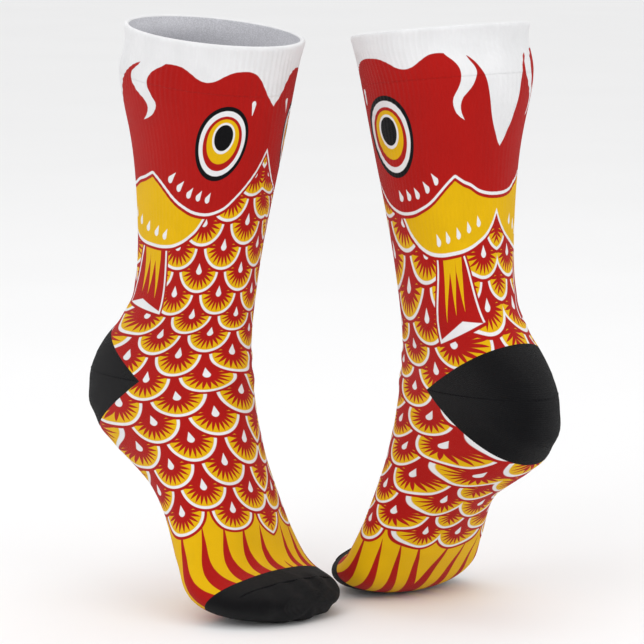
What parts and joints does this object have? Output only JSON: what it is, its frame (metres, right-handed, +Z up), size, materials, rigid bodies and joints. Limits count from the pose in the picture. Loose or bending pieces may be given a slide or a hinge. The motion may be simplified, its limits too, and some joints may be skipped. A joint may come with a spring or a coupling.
{
  "type": "pair of printed crew socks",
  "caption": "Pair of crew socks in their worn tiptoe shape, with a carp print, black heels and toes; ankles and toes bend.",
  "frame": {"origin": "middle of the flat underside of the right sock's toe cap, on the floor", "axes": "+Z up the legs, +X from the right sock towards the left sock, +Y away from the front view"},
  "size_m": [0.2802, 0.159, 0.3504],
  "materials": {
    "printed_knit": "matt printed knit",
    "black_knit": "matt knit",
    "elastic_yarn": "covered elastic yarn",
    "white_thread": "matt thread",
    "black_thread": "matt thread"
  },
  "bodies": {
    "right_toes": {"right_toe_cap": "black_knit", "right_toe_seam": "black_thread"},
    "right_foot": {"right_foot_tube": "printed_knit", "right_ball_panel": "printed_knit", "right_heel_pocket": "black_knit", "right_heel_gore_seam": "black_thread", "right_ankle_panel": "printed_knit"},
    "right_leg": {"right_leg_tube": "printed_knit", "right_cuff_welt": "printed_knit", "right_cuff_elastic": "elastic_yarn", "right_welt_stitch": "white_thread"},
    "left_toes": {"left_toe_cap": "black_knit", "left_toe_seam": "black_thread"},
    "left_foot": {"left_foot_tube": "printed_knit", "left_ball_panel": "printed_knit", "left_heel_pocket": "black_knit", "left_heel_gore_seam": "black_thread", "left_ankle_panel": "printed_knit"},
    "left_leg": {"left_leg_tube": "printed_knit", "left_cuff_welt": "printed_knit", "left_cuff_elastic": "elastic_yarn", "left_welt_stitch": "white_thread"}
  },
  "joints": [
    {"name": "left_sock_move_apart", "type": "slide", "parent": "right_toes", "child": "left_toes", "axis": [1, 0, 0], "range_m": [0, 0.15]},
    {"name": "right_toe_bend", "type": "hinge", "parent": "right_toes", "child": "right_foot", "pos_m": [-0.01828, 0.01705, 0.022], "axis": [-0.682, -0.7314, 0], "range_deg": [0, 42], "stiffness_Nm_per_rad": 0.4, "deforming": ["right_ball_panel"]},
    {"name": "right_ankle_bend", "type": "hinge", "parent": "right_foot", "child": "right_leg", "pos_m": [-0.05924, 0.05524, 0.136], "axis": [0.682, 0.7314, 0], "range_deg": [0, 44], "stiffness_Nm_per_rad": 0.4, "deforming": ["right_ankle_panel"]},
    {"name": "left_toe_bend", "type": "hinge", "parent": "left_toes", "child": "left_foot", "pos_m": [0.08005, 0.06703, 0.022], "axis": [0.7986, 0.6018, 0], "range_deg": [0, 42], "stiffness_Nm_per_rad": 0.4, "deforming": ["left_ball_panel"]},
    {"name": "left_ankle_bend", "type": "hinge", "parent": "left_foot", "child": "left_leg", "pos_m": [0.11375, 0.02231, 0.136], "axis": [-0.7986, -0.6018, 0], "range_deg": [0, 44], "stiffness_Nm_per_rad": 0.4, "deforming": ["left_ankle_panel"]}
  ]
}
